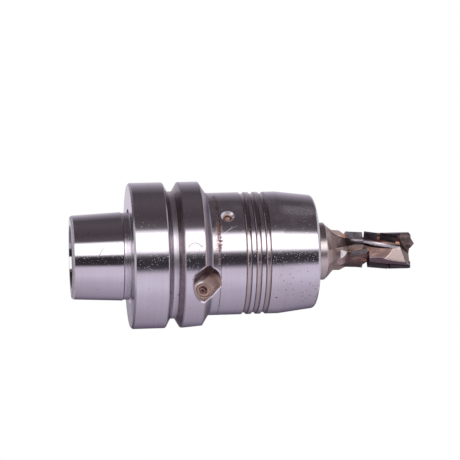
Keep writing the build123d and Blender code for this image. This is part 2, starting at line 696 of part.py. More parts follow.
def make_tips():
    """All cutting tips by name, with the pockets that they sit in."""
    tips, pockets = {}, []
    for wing, spans in enumerate(FRONT_TIPS):
        angle_at = row_angle_at(FRONT_EDGE_ANGLE, FRONT_START_BACK, FRONT_TURN, wing)
        for row, (start, end) in zip(("middle", "front"), spans):
            tips[f"{row}_tip_{wing + 1}"] = tip_solid(start, end, angle_at, FRONT_TURN)
            pockets.append(tip_solid(start, end, angle_at, FRONT_TURN, BRAZE_GAP))
    for wing in range(WINGS):
        angle_at = row_angle_at(REAR_EDGE_ANGLE, REAR_START_BACK, REAR_TURN, wing)
        tips[f"rear_tip_{wing + 1}"] = tip_solid(*REAR_TIP, angle_at, REAR_TURN)
        pockets.append(tip_solid(*REAR_TIP, angle_at, REAR_TURN, BRAZE_GAP))
    tips["plunge_tip"] = plunge_tip_solid()
    pockets.append(plunge_tip_solid(BRAZE_GAP))
    return tips, pockets


def make_tool_body(pockets):
    """Steel cutter body: clamped shank, collar, cone and the fluted end."""
    low_z = TOOL_START_Z
    neck_z = NOSE_Z + CONE_END_BACK
    neck_end_z = NOSE_Z + NECK_END_BACK
    body = turned(
        [
            (0, low_z),
            (TOOL_R - TOOL_END_CHAMFER, low_z),
            (TOOL_R, low_z + TOOL_END_CHAMFER),
            (TOOL_R, CUTTER_START_Z, FINE_ROUND),
            (NECK_RADIUS, neck_z, 2.0),
            (NECK_RADIUS - 0.2, neck_end_z, 1.5),
            (LAND_RADIUS, neck_end_z + 2.4, 1.0),
            (LAND_RADIUS, CUTTER_END_Z - CUTTER_END_EDGE),
            (LAND_RADIUS - CUTTER_END_EDGE, CUTTER_END_Z),
            (0, CUTTER_END_Z),
        ]
    )
    for cutter in gullets(REAR_EDGE_ANGLE, REAR_START_BACK, REAR_TURN, REAR_GULLET):
        body -= cutter
    for cutter in gullets(FRONT_EDGE_ANGLE, FRONT_START_BACK, FRONT_TURN, FRONT_GULLET):
        body -= cutter
    for wing in range(WINGS - 1):
        body -= heel_facet(wing)
    body -= plunge_gash()
    for pocket in pockets:
        body -= pocket
    return body.solids().sort_by(SortBy.VOLUME)[-1]


def main():
    os.makedirs("parts", exist_ok=True)
    tips, pockets = make_tips()
    parts = {
        "base_body": make_base_body(),
        "front_casing": make_front_casing(),
        "expansion_sleeve": make_expansion_sleeve(),
        "clamping_screw": make_clamping_screw(),
        "pressure_piston": make_pressure_piston(),
        "piston_seal": make_piston_seal(),
        "bleed_plug": make_bleed_plug(),
        "bleed_ball": make_bleed_ball(),
        "stop_screw": make_stop_screw(),
        "stop_ring": make_stop_ring(),
        "tool_body": make_tool_body(pockets),
    }
    parts.update(tips)
    for name, solid in parts.items():
        solid.label = name
        export_step(solid, f"parts/{name}.step")
        print(name, [round(s.volume, 2) for s in solid.solids()])


main()
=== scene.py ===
import math

import bpy
from mathutils import Matrix, Vector

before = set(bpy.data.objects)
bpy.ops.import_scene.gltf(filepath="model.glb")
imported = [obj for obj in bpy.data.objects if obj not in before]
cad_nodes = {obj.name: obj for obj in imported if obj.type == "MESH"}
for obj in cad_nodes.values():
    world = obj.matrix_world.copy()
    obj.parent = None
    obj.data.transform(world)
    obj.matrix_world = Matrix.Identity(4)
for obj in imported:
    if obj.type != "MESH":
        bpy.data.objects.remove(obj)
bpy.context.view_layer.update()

MM = 0.001
MICRON = MM / 1000

# Places on the chuck, from its drawing: heights above the shank's end face, in millimetres.
NECK_START = 22.0
SHANK_LENGTH = 24.6
FLANGE_BACK = 25.0
GROOVE_START, GROOVE_MIDDLE, GROOVE_END = 39.4, 43.0, 46.6
FLANGE_FRONT = 55.1
SEAM = 61.85
MIDDLE_RING = 78.15
COLLAR_END = 110.2
CUTTER_END = 148.3

# Radii and widths there.
SHANK_R, NECK_R, FLANGE_R, BODY_R = 18.6, 20.0, 31.5, 26.5
RING_PITCH = 4.15
RING_FLOOR_HALF, RING_HALF = 0.62, 1.32

# Size of a fleck, as a share of its cell.
FLECK_R = 0.26


class Level:
    """A number that varies over a surface: arithmetic on it adds Math nodes."""

    def __init__(self, finish, socket):
        self.finish = finish
        self.socket = socket

    def math(self, operation, *others):
        inputs = dict(enumerate((self, *others)))
        return self.finish.node("Math", {"operation": operation}, inputs)

    def __add__(self, other):
        return self.math("ADD", other)

    def __sub__(self, other):
        return self.math("SUBTRACT", other)

    def __rsub__(self, other):
        return self.finish.node("Math", {"operation": "SUBTRACT"}, {0: other, 1: self})

    def __mul__(self, other):
        return self.math("MULTIPLY", other)

    def __truediv__(self, other):
        return self.math("DIVIDE", other)

    __radd__ = __add__
    __rmul__ = __mul__

    def size(self):
        return self.math("ABSOLUTE")

    def root(self):
        return self.math("SQRT")

    def capped(self, limit=1.0):
        return self.math("MINIMUM", limit)

    def step(self, edge, soft=0.3):
        """0 below an edge and 1 above it."""
        ends = {"From Min": edge - soft / 2, "From Max": edge + soft / 2}
        settings = {"interpolation_type": "SMOOTHSTEP"}
        return self.finish.node("MapRange", settings, {"Value": self, **ends})

    def below(self, edge, soft=0.3):
        """1 below an edge and 0 above it."""
        return 1 - self.step(edge, soft)

    def between(self, low, high, soft=0.3):
        """1 from low to high, 0 outside, with soft ends."""
        return self.step(low, soft) * self.below(high, soft)


class Finish:
    """One finish: a Principled material on the part's own coordinates, in millimetres."""

    def __init__(self, name, **constants):
        self.material = bpy.data.materials.new(name)
        self.material.use_nodes = True
        self.tree = self.material.node_tree
        self.shader = self.tree.nodes["Principled BSDF"]
        for socket, value in constants.items():
            self.shader.inputs[socket.replace("_", " ")].default_value = value
        metres = self.node("TexCoord", output="Object")
        self.place = self.node("VectorMath", {"operation": "SCALE"}, {0: metres, "Scale": 1 / MM})
        split = self.node("SeparateXYZ", inputs={0: self.place}, output=None)
        self.x, self.y, self.z = (Level(self, split.outputs[i]) for i in range(3))
        self.radius = (self.x * self.x + self.y * self.y).root()
        self.turn = self.y.math("ARCTAN2", self.x) * math.degrees(1)

    def node(self, kind, settings=None, inputs=None, output=0):
        """Adds a node: its settings first, then the values or links of its sockets."""
        node = self.tree.nodes.new("ShaderNode" + kind)
        for name, value in (settings or {}).items():
            if name == "stops":
                stops = node.color_ramp.elements
                stops[0].position, stops[1].position = value[0][0], value[-1][0]
                between = [stops.new(position) for position, _ in value[1:-1]]
                for stop, (_, colour) in zip([stops[0], *between, stops[len(stops) - 1]], value):
                    stop.color = (*colour, 1)
            else:
                setattr(node, name, value)
        for name, value in (inputs or {}).items():
            if isinstance(value, Level):
                self.tree.links.new(value.socket, node.inputs[name])
            else:
                node.inputs[name].default_value = value
        return node if output is None else Level(self, node.outputs[output])

    def feed(self, socket, level):
        self.tree.links.new(level.socket, self.shader.inputs[socket])

    def noise(self, scale, detail=3.0, stretch=(1, 1, 1), shift=0.0):
        """Cloudy pattern from 0 to 1, with its scale per millimetre."""
        sized = {"Vector": self.place, "Location": (shift, shift, shift), "Scale": stretch}
        where = self.node("Mapping", inputs=sized)
        return self.node("TexNoise", inputs={"Vector": where, "Scale": scale, "Detail": detail})

    def rings(self, per_mm, shift=0.0):
        """Tool marks that run round the spindle axis."""
        sized = {"X": self.radius * per_mm, "Y": self.turn * 0.01, "Z": self.z * per_mm + shift}
        where = self.node("CombineXYZ", inputs=sized)
        return self.node("TexNoise", inputs={"Vector": where, "Scale": 1.0, "Detail": 2.0})

    def flecks(self, size, share, shift=0.0):
        """Small separate marks: 1 inside a mark, in a share of the cells."""
        moved = self.node("VectorMath", {"operation": "ADD"}, {0: self.place, 1: (shift,) * 3})
        cells = self.node("TexVoronoi", inputs={"Vector": moved, "Scale": 1 / size}, output=None)
        distance = Level(self, cells.outputs["Distance"])
        chance = self.node("SeparateColor", inputs={0: Level(self, cells.outputs["Color"])})
        return distance.below(FLECK_R, soft=0.14) * chance.below(share, soft=0.01)

    def unrolled(self, turn, z, radius):
        """Distances from a point of a cylinder, round it and along it."""
        return (self.turn - turn) * math.radians(radius), self.z - z

    def line(self, start, end, width, radius):
        """A scratch on a cylinder, between two (turn in degrees, height) points."""
        run, rise = math.radians(end[0] - start[0]) * radius, end[1] - start[1]
        length = math.hypot(run, rise)
        round_it, along_it = self.unrolled(*start, radius)
        along = (round_it * run + along_it * rise) / length
        aside = (round_it * rise - along_it * run) / length
        within = aside.size().below(width / 2, soft=width / 2)
        return within * along.between(0, length, soft=width)

    def spot(self, turn, z, size, radius):
        """A round mark on a cylinder."""
        round_it, along_it = self.unrolled(turn, z, radius)
        away = (round_it * round_it + along_it * along_it).root()
        return away.below(size / 2, soft=size / 2)

    def arc(self, turn, z, size, width, radius, reach):
        """Part of a thin circle on a cylinder: only where it lies beyond a reach, on one side."""
        round_it, along_it = self.unrolled(turn, z, radius)
        away = (round_it * round_it + along_it * along_it).root()
        within = (away - size).size().below(width / 2, soft=width / 2)
        return within * round_it.below(reach, soft=0.2)

    def around(self, origin, way):
        """Distance from an axis, and depth along it."""
        offset = self.node("VectorMath", {"operation": "SUBTRACT"}, {0: self.place, 1: origin})
        length = self.node("VectorMath", {"operation": "LENGTH"}, {0: offset}, output="Value")
        depth = self.beyond(origin, way)
        return (length * length - depth * depth).math("MAXIMUM", 0.0).root(), depth

    def beyond(self, origin, way):
        """Height above a plane."""
        offset = self.node("VectorMath", {"operation": "SUBTRACT"}, {0: self.place, 1: origin})
        settings = {"operation": "DOT_PRODUCT"}
        return self.node("VectorMath", settings, {0: offset, 1: way}, output="Value")

    def past_line(self, x, z, lean):
        """Distance in x past a line through a point that leans by so much x for each z."""
        return self.x - x - (self.z - z) * lean

    def blend(self, under, over, share):
        """Mixes two colours by a level."""
        settings = {"data_type": "RGBA"}
        first = under if isinstance(under, Level) else (*under, 1)
        second = over if isinstance(over, Level) else (*over, 1)
        return self.node("Mix", settings, {"Factor": share, 6: first, 7: second}, output=2)

    def bump(self, height):
        """Relief of the surface. The height is in micrometres."""
        self.feed("Normal", self.node("Bump", inputs={"Height": height, "Distance": MICRON}))


# The clamping bore's frame, which the pocket's finish follows.
BORE_TURN = math.radians(20.5)
BORE_TILT = math.radians(8.0)
BORE_OFFSET = 20.75
BORE_MOUTH_R = 28.8
BORE_MOUTH_Z = 55.9
BORE_RUN = math.sqrt(BORE_MOUTH_R**2 - BORE_OFFSET**2)
BORE_SIDE = Vector((math.cos(BORE_TURN), -math.sin(BORE_TURN), 0))
BORE_FLAT = Vector((math.sin(BORE_TURN), math.cos(BORE_TURN), 0))
BORE_WAY = BORE_FLAT * math.cos(BORE_TILT) - Vector((0, 0, math.sin(BORE_TILT)))
BORE_MOUTH = BORE_SIDE * BORE_OFFSET - BORE_FLAT * BORE_RUN + Vector((0, 0, BORE_MOUTH_Z))
POCKET_RADIUS = 6.5
# The pocket's two flat walls, upper left and lower right: angle round the bore's axis,
# and distance from it.
POCKET_WALLS = ((146.0, 5.1), (-43.0, 4.3))


def polar(radius, degrees, z=0.0):
    """A place given by its radius, its turn and its height."""
    angle = math.radians(degrees)
    return Vector((radius * math.cos(angle), radius * math.sin(angle), z))


BLEED_TURN = -126.6
BLEED_MOUTH = polar(BODY_R, BLEED_TURN, 65.8)


def pocket_outline(finish):
    """How far a place lies outside the pocket, its depth, and how far beyond each flat wall."""
    away, depth = finish.around(BORE_MOUTH, BORE_WAY)
    outside = away - POCKET_RADIUS
    upwards = BORE_WAY.cross(BORE_SIDE)
    beyond_walls = []
    for angle, distance in POCKET_WALLS:
        turn = math.radians(angle)
        wall_way = BORE_SIDE * math.cos(turn) + upwards * math.sin(turn)
        beyond_walls.append(finish.beyond(BORE_MOUTH + wall_way * distance, wall_way))
        outside = outside.math("MAXIMUM", beyond_walls[-1])
    return outside, depth, beyond_walls


# Colours of the holder's steel, of the marks on it, and of painted shade, highlights and
# reflections.
STEEL = (0.605, 0.575, 0.632)
WORN_STEEL = (0.47, 0.425, 0.45)
# Painted shade on the gripper groove's flanks.
FLANK_SHADE = (0.25, 0.185, 0.165)
# Painted shade at the edges of the ring grooves.
RING_EDGE_SHADE = (0.18, 0.13, 0.13)
RING_FLOOR = (0.47, 0.395, 0.39)
# Painted reflection on the ring floors: darker on one side, lighter in a bright band.
RING_FLOOR_DARK_REFLECTION = (0.27, 0.22, 0.215)
RING_FLOOR_BRIGHT_REFLECTION = (0.70, 0.61, 0.60)
NECK_SHADE = (0.24, 0.19, 0.20)
CORNER_SHADE = (0.22, 0.17, 0.19)
# Painted shade on the flange's back face, on one side.
BACK_FACE_SHADE = (0.34, 0.31, 0.36)
SLOPE = (0.36, 0.33, 0.385)
# Painted shade in a band on the slope, and a painted warm highlight at the flange's front edge.
SLOPE_SHADE = (0.17, 0.145, 0.18)
SLOPE_GLOW = (0.50, 0.39, 0.36)
CHAMFER = (0.42, 0.385, 0.445)
# Painted shade on the shank's end face.
END_FACE_SHADE = (0.38, 0.33, 0.37)
BLEED_SINK = (0.74, 0.70, 0.75)
NICK = (0.86, 0.84, 0.85)
PIT = (0.17, 0.125, 0.14)
RUST = (0.155, 0.065, 0.05)
PALE_RUST = (0.27, 0.135, 0.105)
RUST_SMEAR = (0.36, 0.255, 0.235)
SEAM_LINE = (0.24, 0.19, 0.19)
GRIT = (0.09, 0.05, 0.055)
SCRATCH = (0.92, 0.90, 0.92)
GOUGE = (0.12, 0.085, 0.085)
RED_SPOT = (0.30, 0.085, 0.07)
ARROW = (0.20, 0.17, 0.19)

# The browned pocket, from its painted shade to its painted lit side, with painted shade, painted
# highlights, and a rim with a painted highlight and painted shade.
POCKET_SHADE = (0.05, 0.03, 0.028)
POCKET_LIT = (0.96, 0.73, 0.655)
POCKET_END_SHADE = (0.44, 0.31, 0.28)
POCKET_GLINT = (1.0, 0.95, 0.95)
POCKET_WALL_SHADE = (0.17, 0.115, 0.125)
POCKET_CREASE_HIGHLIGHT = (0.42, 0.33, 0.30)
POCKET_EDGE_SHADE = (0.11, 0.075, 0.085)
RIM_HIGHLIGHT = (0.95, 0.92, 0.95)
RIM_SHADE = (0.20, 0.17, 0.21)
GLINT_X, GLINT_Z = 11.9, 53.6

# Stripes of painted reflection across the shank's mouth: where each starts, how softly, and its
# colour.
MOUTH_REFLECTION_EDGE = (0.34, 0.31, 0.38)
MOUTH_REFLECTION_STRIPES = (
    (-3.9, 0.9, (0.02, 0.014, 0.018)),
    (-0.4, 0.7, (1.0, 0.98, 1.0)),
    (4.9, 0.8, (0.11, 0.085, 0.09)),
)

# Marks on the holder. Scratches: start and end as turn and height, then width.
SCRATCHES = (
    ((-107.0, 62.6), (-115.5, 67.6), 0.2),
    ((-112.0, 66.0), (-116.5, 69.6), 0.14),
    ((-104.0, 94.0), (-109.0, 99.5), 0.14),
)
# Dents: turn, height, size, radius there, strength.
DENTS = (
    (-52.2, 43.9, 0.75, 27.5, 1.0),
    (-60.0, 96.4, 0.6, 25.5, 0.7),
    (-49.0, 99.0, 0.5, 25.3, 0.7),
)
ARROW_TIP = (-95.2, 53.45)
ARROW_BARBS = ((-96.6, 52.6), (-97.2, 53.5))


class Coat:
    """Colour and roughness of a finish, while its marks are laid over one another."""

    def __init__(self, finish, colour, rough):
        self.finish = finish
        self.colour = colour
        self.rough = rough

    def lay(self, colour, where, strength=1.0, rough=0.0):
        """Blends a colour in where a mask is, and makes the surface rougher there."""
        self.colour = self.finish.blend(self.colour, colour, where * strength)
        if rough:
            self.rough = self.rough + where * rough


def lay_grooves(finish, coat):
    """The three ring grooves with painted brown shade at their edges and painted reflection on
    their floors, and the gripper groove with painted shade on its flanks.
    """
    from_middle = (finish.z - MIDDLE_RING).size()
    from_ring = from_middle.math("MINIMUM", (from_middle - RING_PITCH).size())
    ring_edges = from_ring.between(RING_FLOOR_HALF, RING_HALF, soft=0.25)
    ring_floors = from_ring.below(RING_FLOOR_HALF)
    back_flank = finish.z.between(GROOVE_START, GROOVE_MIDDLE) * finish.radius.between(30.6, 31.3)
    front_flank = finish.z.between(GROOVE_MIDDLE, GROOVE_END)
    front_flank = front_flank * finish.radius.between(27.6, 31.3, soft=0.6)
    gripper_floor = finish.z.between(GROOVE_START, GROOVE_END) * finish.radius.below(27.8)
    patchiness = finish.noise(0.5, detail=4, stretch=(1, 1, 0.3), shift=8.0)
    # Painted shade on the gripper groove's flanks, made patchy by noise.
    flank_shade_mask = (back_flank * 0.7 + front_flank * 0.8) * (patchiness * 0.8 + 0.5)
    coat.lay(FLANK_SHADE, flank_shade_mask.capped(0.9))
    # Painted reflection on the ring floors: darker on one side, lighter in a bright band.
    dark_reflection_side = finish.turn.between(-155, -109, soft=12)
    bright_reflection_side = finish.turn.between(-109, -89, soft=8)
    floor_tint_and_reflection = finish.blend(RING_FLOOR, RING_FLOOR_DARK_REFLECTION, dark_reflection_side)
    floor_tint_and_reflection = finish.blend(floor_tint_and_reflection, RING_FLOOR_BRIGHT_REFLECTION, bright_reflection_side)
    # Painted shade at the ring grooves' edges, made patchy by noise.
    coat.lay(RING_EDGE_SHADE, ring_edges * (patchiness * 0.4 + 0.5).capped(0.85))
    coat.lay(floor_tint_and_reflection, ring_floors, strength=0.85)
    coat.rough = coat.rough + (ring_edges + ring_floors) * 0.07
    coat.rough = coat.rough + front_flank * 0.1 + gripper_floor * 0.17


def lay_flange_edges(finish, coat):
    """The neck behind the flange with painted shade, its back face with painted shade on one
    side, its chamfers, and the slope in front of it, darker, with a band of painted shade and a
    painted highlight.
    """
    neck = finish.z.between(NECK_START, FLANGE_BACK + 0.05, soft=0.4)
    neck = neck * finish.radius.below(NECK_R)
    coat.lay(NECK_SHADE, finish.z.between(22.85, 23.45, soft=0.4) * neck, strength=0.2)
    neck_corner = finish.z.between(FLANGE_BACK - 0.3, FLANGE_BACK + 0.02, soft=0.2) * neck
    coat.lay(CORNER_SHADE, neck_corner, strength=0.2)
    # Painted shade on the flange's back face, on one side only.
    back_face = finish.z.below(FLANGE_BACK + 0.15, soft=0.1) * finish.radius.step(NECK_R)
    coat.lay(BACK_FACE_SHADE, back_face * finish.turn.between(-128, -25, soft=30), rough=0.1)
    slope = finish.z.between(FLANGE_FRONT - 0.2, FLANGE_FRONT + 3.6, soft=0.6)
    coat.lay(SLOPE, slope, strength=0.7, rough=0.2)
    # Painted shade in a band on the slope, and a painted warm highlight at the flange's front
    # edge.
    coat.lay(SLOPE_SHADE, finish.z.between(56.5, 58.0, soft=0.7), strength=0.6)
    coat.lay(SLOPE_GLOW, finish.z.between(54.5, 55.2), strength=0.6)
    back_chamfer = finish.z.between(FLANGE_BACK + 0.03, FLANGE_BACK + 0.82, soft=0.06)
    groove_chamfers = (finish.z - GROOVE_MIDDLE).size().between(3.2, 3.7, soft=0.06)
    chamfers = (back_chamfer + groove_chamfers) * finish.radius.step(30.6, soft=0.1)
    coat.lay(CHAMFER, chamfers, strength=0.7, rough=0.1)
    coat.rough = coat.rough + neck * 0.16


def lay_nicks_and_pits(finish, coat):
    """Bright nicks, thickest where the holder is handled, and dark pits near its nose."""
    outside = finish.radius.step(17.5, soft=0.2)
    handled = finish.turn.between(-97, -72, soft=8) * finish.z.below(56.0, soft=1.0)
    scuffed = finish.turn.between(-97, -76, soft=6) * finish.z.step(84.0, soft=2.0)
    spotted = finish.turn.between(-72, -20, soft=20) * finish.z.step(86.0, soft=5.0)
    nicks = finish.flecks(size=0.55, share=0.055)
    nicks = nicks + finish.flecks(size=0.45, share=0.26, shift=31.0) * handled
    nicks = nicks + finish.flecks(size=0.42, share=0.2, shift=43.0) * scuffed
    nicks = nicks.capped() * outside
    pits = finish.flecks(size=1.1, share=0.03, shift=17.0)
    pits = pits + finish.flecks(size=1.3, share=0.3, shift=53.0) * spotted
    pits = pits.capped() * outside
    coat.lay(NICK, nicks, strength=0.55, rough=0.3)
    coat.lay(PIT, pits, strength=0.6, rough=0.2)
    return nicks, pits


def lay_seam_rust(finish, coat):
    """Rust that creeps out of the seam on the photo's side, its smear and the grit beside it."""
    ragged = finish.noise(2.2, detail=4, stretch=(1, 1, 0.6), shift=9.0)
    creeping = finish.noise(0.35, stretch=(1, 1, 0.2), shift=5.0)
    worst = finish.turn.between(-119, -80, soft=10)
    side = finish.turn.between(-160, -76, soft=12)
    near_seam = finish.z.between(SEAM - 1.2, SEAM + 1.2, soft=1.3)
    behind_seam = finish.z.between(SEAM - 2.7, SEAM - 0.1, soft=1.8)
    smeared = behind_seam * worst * (ragged * 0.6 + creeping * 0.5).step(0.49, soft=0.2)
    off_centre = (finish.z - SEAM + 0.6).size() * (finish.turn.step(-94.0, soft=6.0) * 0.22 + 0.1)
    spread = ragged * 0.75 + creeping * 0.4 + worst * 0.07 - off_centre
    rust = near_seam * side * spread.step(0.56, soft=0.12)
    coat.lay(RUST_SMEAR, smeared, strength=0.6, rough=0.12)
    coat.lay(SEAM_LINE, finish.z.between(SEAM - 0.14, SEAM + 0.14, soft=0.16), strength=0.2)
    rust_tint = finish.blend(RUST, PALE_RUST, ragged.step(0.5, soft=0.2))
    coat.lay(rust_tint, rust, strength=0.85, rough=0.4)
    grit = finish.flecks(size=0.85, share=0.4, shift=61.0)
    grit = grit * finish.z.between(SEAM - 0.9, SEAM + 0.5, soft=0.6)
    coat.lay(GRIT, grit * finish.turn.between(-82, -30, soft=8), strength=0.85)
    return rust


def lay_scratches(finish, coat):
    """Single scratches, gouges and a red-brown spot, and the arrow for the turning direction."""
    scratches = sum(finish.line(start, end, width, BODY_R) for start, end, width in SCRATCHES)
    coat.lay(SCRATCH, scratches, strength=0.45, rough=0.2)
    gouges = finish.line((-92.0, 11.2), (-101.5, 13.1), 0.28, SHANK_R)
    gouges = gouges + finish.line((-101, 52.15), (-66, 52.15), 0.12, FLANGE_R) * 0.4
    for turn, z, size, radius, strength in DENTS:
        gouges = gouges + finish.spot(turn, z, size, radius) * strength
    coat.lay(GOUGE, gouges.capped(), strength=0.85)
    coat.lay(RED_SPOT, finish.spot(-43.4, 86.1, 0.85, BODY_R))
    arrow = finish.arc(-93.2, 50.5, size=3.0, width=0.44, radius=FLANGE_R, reach=-1.1)
    for barb_end in ARROW_BARBS:
        arrow = arrow + finish.line(ARROW_TIP, barb_end, 0.3, FLANGE_R)
    coat.lay(ARROW, arrow.capped(), strength=0.85)
    coat.rough = coat.rough + gouges * 0.2


def lay_pocket(finish, coat):
    """The browned pocket of the clamping screw, with painted shade and a painted lit side,
    painted highlights, and a rim with a painted highlight and painted shade.
    """
    outside_pocket, depth, beyond_walls = pocket_outline(finish)
    upper_left, lower_right = beyond_walls
    inner = depth.between(-9, 8.6)
    pocket = outside_pocket.below(0.06, soft=0.06) * inner
    rim = outside_pocket.below(0.5) * inner - pocket
    rim_highlight_side = lower_right.step(-1.2, soft=0.8)
    tint = finish.noise(0.30, shift=2.0)
    streaks = finish.noise(1.1, detail=2, stretch=(1, 1, 0.3), shift=12.0)
    # Painted light across the pocket: 0 on its shaded side and 1 on its lit side.
    lit = (finish.x + tint * 2.0).step(10.4, soft=3.8)
    lit_wall = pocket * lit * upper_left.below(-1.9, soft=0.4)
    deep_end = depth.step(4.5, soft=3.0) * pocket
    glint_x, glint_z = finish.x - GLINT_X, finish.z - GLINT_Z
    from_glint = (glint_x * glint_x + glint_z * glint_z).root()
    # Painted highlight: a light line along the crease of the upper-left wall. Painted shade: the
    # flat upper-left wall, streaked.
    crease = upper_left.between(-1.85, -1.5, soft=0.2) * finish.x.below(12.0, soft=2.0)
    flat_wall_shade = upper_left.step(-1.55, soft=0.25) * (streaks * 0.5 + 0.5)
    # Painted shade at the pocket's left edge.
    left_edge_shade = outside_pocket.step(-0.75, soft=0.4) * finish.z.below(54.0, soft=1.5)
    left_edge_shade = left_edge_shade * finish.x.step(9.5, soft=1.0)

    # The browned colour with painted light: shaded on one side and lit on the other, painted
    # shade at the deep end, a painted glint, painted shade on the flat wall and left edge, and a
    # painted highlight along the crease.
    bronze_and_painted_light = finish.blend(POCKET_SHADE, POCKET_LIT, lit)
    bronze_and_painted_light = finish.blend(bronze_and_painted_light, POCKET_END_SHADE, deep_end * lit * 0.6)
    bronze_and_painted_light = finish.blend(bronze_and_painted_light, POCKET_GLINT, from_glint.below(1.3, soft=2.0))
    bronze_and_painted_light = finish.blend(bronze_and_painted_light, POCKET_WALL_SHADE, flat_wall_shade)
    bronze_and_painted_light = finish.blend(bronze_and_painted_light, POCKET_CREASE_HIGHLIGHT, crease * 0.7)
    bronze_and_painted_light = finish.blend(bronze_and_painted_light, POCKET_EDGE_SHADE, left_edge_shade * 0.85)
    coat.lay(bronze_and_painted_light, pocket, strength=0.97, rough=0.14)
    # Painted highlight on the rim's lower right side, and painted shade low on its other side.
    coat.lay(RIM_HIGHLIGHT, rim * rim_highlight_side, strength=0.9)
    coat.lay(RIM_SHADE, rim * finish.z.below(53.0, soft=2.0) * (1 - rim_highlight_side), strength=0.7)
    coat.rough = coat.rough + rim * 0.1 + deep_end * 0.16
    rounded = (outside_pocket.capped(0.45) - 0.45) * inner * (rim_highlight_side * 600.0 + 150.0)
    return lit_wall, rounded


def lay_shank_end(finish, coat):
    """What the inside of the shank's mouth mirrors, and the shade on its end face."""
    mouth = finish.z.below(1.5) * finish.radius.below(14.25, soft=0.1)
    mouth = mouth * finish.y.step(-2.0, soft=1.0)
    # Painted reflection: dark and white stripes across the mouth.
    stripes = MOUTH_REFLECTION_EDGE
    for x, soft, colour in MOUTH_REFLECTION_STRIPES:
        stripes = finish.blend(stripes, colour, finish.x.step(x, soft))
    coat.lay(stripes, mouth)
    end_face = finish.z.below(0.3, soft=0.2) * finish.radius.step(14.3, soft=0.2)
    end_face = end_face * finish.x.step(2.0, soft=6.0)
    coat.lay(END_FACE_SHADE, end_face, strength=0.7)


def ground_steel(name):
    """Ground and hardened steel of the holder, with its nicks, stains and rust at the seam."""
    finish = Finish(name, Metallic=1.0)
    clouds = finish.noise(0.06, detail=4, shift=3.0)
    streaks = finish.rings(2.2)
    fine = finish.rings(9.0, shift=4.0)
    shank = finish.z.below(SHANK_LENGTH, soft=0.6)
    worn = (clouds * 0.45 + streaks * 0.25).between(0.38, 2.0) * 0.45
    rough = 0.115 + clouds * 0.04 + fine * 0.02 - shank * 0.055
    coat = Coat(finish, finish.blend(STEEL, WORN_STEEL, worn), rough)
    lay_grooves(finish, coat)
    lay_flange_edges(finish, coat)
    nicks, pits = lay_nicks_and_pits(finish, coat)
    rust = lay_seam_rust(finish, coat)
    lay_scratches(finish, coat)
    lit_wall, rounded = lay_pocket(finish, coat)
    lay_shank_end(finish, coat)

    from_bleed, bleed_depth = finish.around(BLEED_MOUTH, polar(-1.0, BLEED_TURN))
    sink = from_bleed.below(2.95, soft=0.08) * bleed_depth.between(-1.0, 1.2, soft=0.2)
    coat.lay(BLEED_SINK, sink, rough=0.22)

    film = finish.turn.between(-139, -128, soft=4) * finish.z.between(89.0, 104.0, soft=4.0)
    film = film * (clouds * 0.6 + 0.5)
    haze = finish.noise(0.11, detail=4, stretch=(1, 1, 0.6), shift=21.0).step(0.56, soft=0.14)
    haze = haze * finish.turn.between(-152, -104, soft=12) * finish.z.step(58.0, soft=2.0)
    finish.feed("Metallic", 1 - film * 0.15 - haze * 0.06 - lit_wall * 0.85)
    finish.feed("Base Color", coat.colour)
    finish.feed("Roughness", coat.rough)
    marks = fine * 1.7 + streaks * 1.5 - nicks * 6.0 - pits * 7.0 + rust * 7.0
    finish.bump(marks * (1 - shank * 0.7) + rounded)
    return finish


def plain_metal(name, light, dark, rough):
    """Machined metal that is mostly hidden: ring marks and a cloudy tint."""
    finish = Finish(name, Metallic=1.0)
    clouds = finish.noise(0.35, detail=4)
    marks = finish.rings(6.0)
    patches = (clouds * 0.7 + marks * 0.5 - 0.25).between(0.25, 2.0, soft=0.4)
    finish.feed("Base Color", finish.blend(light, dark, patches))
    finish.feed("Roughness", rough + clouds * 0.1 + marks * 0.06)
    finish.bump(marks * 0.6)
    return finish


SCREW_BROWN = (0.33, 0.22, 0.20)
SCREW_LIGHT = (0.42, 0.29, 0.265)
SCREW_RING = (0.10, 0.05, 0.05)
SCREW_SOCKET = (0.46, 0.315, 0.295)


def clamping_screw_steel(name):
    """Browned screw: dark rings round its socket, and a paler socket."""
    finish = Finish(name, Metallic=1.0)
    away, depth = finish.around(BORE_MOUTH, BORE_WAY)
    clouds = finish.noise(0.5, detail=4, shift=6.0)
    lower_half = finish.z.below(54.2, soft=1.5)
    rings = away.between(1.45, 1.8, soft=0.25) * 0.75 + away.between(2.6, 3.1) * lower_half
    socket = depth.step(8.35) * away.below(1.6, soft=0.1)
    colour = finish.blend(SCREW_BROWN, SCREW_LIGHT, clouds)
    colour = finish.blend(colour, SCREW_RING, rings.capped() * 0.6)
    colour = finish.blend(colour, SCREW_SOCKET, socket * 0.8)
    finish.feed("Base Color", colour)
    finish.feed("Roughness", 0.32 + clouds * 0.12 + socket * 0.2)
    finish.bump(clouds * 3.0)
    return finish


def rusted_ball(name):
    """The bleed ball under light rust."""
    finish = Finish(name, Metallic=0.25)
    clouds = finish.noise(1.5, detail=4)
    finish.feed("Base Color", finish.blend((0.62, 0.44, 0.39), (0.38, 0.21, 0.17), clouds))
    finish.feed("Roughness", 0.5 + clouds * 0.2)
    finish.bump(clouds * 8.0)
    return finish


